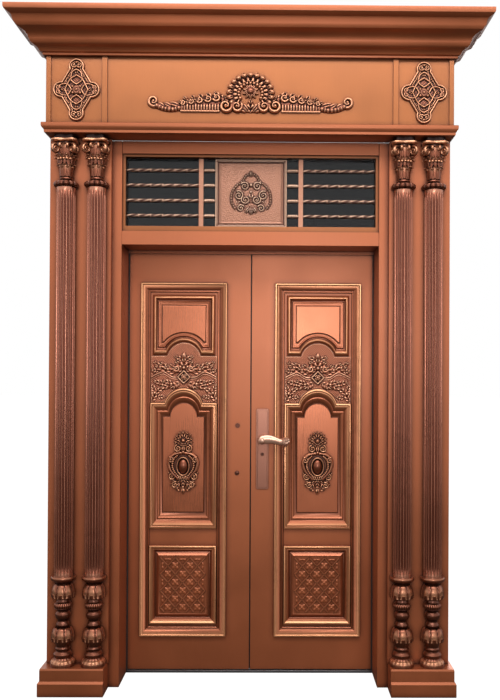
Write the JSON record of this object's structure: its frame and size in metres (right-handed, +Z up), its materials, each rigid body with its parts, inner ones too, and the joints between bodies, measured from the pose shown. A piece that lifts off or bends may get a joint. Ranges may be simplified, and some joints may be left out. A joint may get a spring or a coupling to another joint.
{
  "type": "double entrance door with portal",
  "caption": "Copper-coloured double entrance door in a columned portal with a crown cornice, carved frieze and transom light; inward-opening leaves with arched stamped panels and a lever handle",
  "frame": {"origin": "On the floor, at the middle of the doorway, in the leaves' middle plane", "axes": "X along the door to the right seen from outside, Y inwards (the front faces -Y), Z up"},
  "size_m": [2.15, 0.589, 3.067],
  "materials": {
    "copper": "satin copper lacquer",
    "bright_copper": "brushed copper lacquer",
    "castings": "antique copper castings",
    "rose_copper": "polished rose copper",
    "steel": "brushed steel",
    "rubber": "black rubber",
    "glass": "dark tinted glass"
  },
  "bodies": {
    "portal": {"jamb_left": "copper", "jamb_right": "copper", "head_rail": "copper", "transom_bar": "copper", "threshold": "steel", "weather_seal": "rubber", "casing_left": "copper", "casing_right": "copper", "plinth_left": "copper", "plinth_right": "copper", "base_left_outer": "copper", "base_left_inner": "copper", "base_right_inner": "copper", "base_right_outer": "copper", "shaft_left_outer": "bright_copper", "shaft_left_inner": "bright_copper", "shaft_right_inner": "bright_copper", "shaft_right_outer": "bright_copper", "capital_left_outer": "castings", "capital_left_inner": "castings", "capital_right_inner": "castings", "capital_right_outer": "castings", "ledge": "copper", "frieze_board": "bright_copper", "cornice": "copper", "frieze_crest": "castings", "lozenge_left": "castings", "lozenge_right": "castings", "transom_sash": "bright_copper", "transom_glass": "glass", "transom_rods": "bright_copper", "transom_strips": "bright_copper", "transom_relief": "bright_copper", "hinge_frame_left": "steel", "hinge_frame_right": "steel", "hinge_pins": "steel"},
    "left_leaf": {"leaf_left": "copper", "mouldings_left": "copper", "carving_left": "castings", "medallion_left": "castings", "hinge_leaf_left": "steel", "strike_plate": "steel", "door_viewer": "rose_copper"},
    "right_leaf": {"leaf_right": "copper", "mouldings_right": "copper", "carving_right": "castings", "medallion_right": "castings", "hinge_leaf_right": "steel", "lock_case": "steel", "handle_plate": "rose_copper", "inner_plate": "rose_copper"},
    "lever_set": {"lever": "rose_copper", "inner_lever": "rose_copper"},
    "latch": {"latch_bolt": "steel"},
    "key_turn": {"key_plug": "rose_copper", "thumb_turn": "rose_copper"},
    "dead_bolt": {"deadbolt": "steel"},
    "top_flush_bolt": {"top_bolt": "steel"},
    "bottom_flush_bolt": {"bottom_bolt": "steel"}
  },
  "joints": [
    {"name": "left_leaf_swing", "type": "hinge", "parent": "portal", "child": "left_leaf", "pos_m": [-0.6125, 0.039, 1.03], "axis": [0, 0, 1], "range_deg": [0, 110]},
    {"name": "right_leaf_swing", "type": "hinge", "parent": "portal", "child": "right_leaf", "pos_m": [0.6125, 0.039, 1.03], "axis": [0, 0, -1], "range_deg": [0, 110]},
    {"name": "lever_turn", "type": "hinge", "parent": "right_leaf", "child": "lever_set", "pos_m": [0.058, 0, 1.135], "axis": [0, 1, 0], "range_deg": [0, 45], "stiffness_Nm_per_rad": 3, "springref_deg": -28.65},
    {"name": "latch_slide", "type": "slide", "parent": "right_leaf", "child": "latch", "axis": [1, 0, 0], "range_m": [0, 0.0101]},
    {"name": "key_turn", "type": "hinge", "parent": "right_leaf", "child": "key_turn", "pos_m": [0.058, 0, 1.066], "axis": [0, 1, 0], "range_deg": [0, 90]},
    {"name": "deadbolt_slide", "type": "slide", "parent": "right_leaf", "child": "dead_bolt", "axis": [-1, 0, 0], "range_m": [0, 0.0181]},
    {"name": "top_bolt_slide", "type": "slide", "parent": "left_leaf", "child": "top_flush_bolt", "axis": [0, 0, 1], "range_m": [0, 0.012]},
    {"name": "bottom_bolt_slide", "type": "slide", "parent": "left_leaf", "child": "bottom_flush_bolt", "axis": [0, 0, -1], "range_m": [0, 0.012]}
  ],
  "couplings": [
    {"joint": "latch_slide", "follows": "lever_turn", "m_per_rad": 0.012732},
    {"joint": "deadbolt_slide", "follows": "key_turn", "m_per_rad": 0.011459}
  ]
}
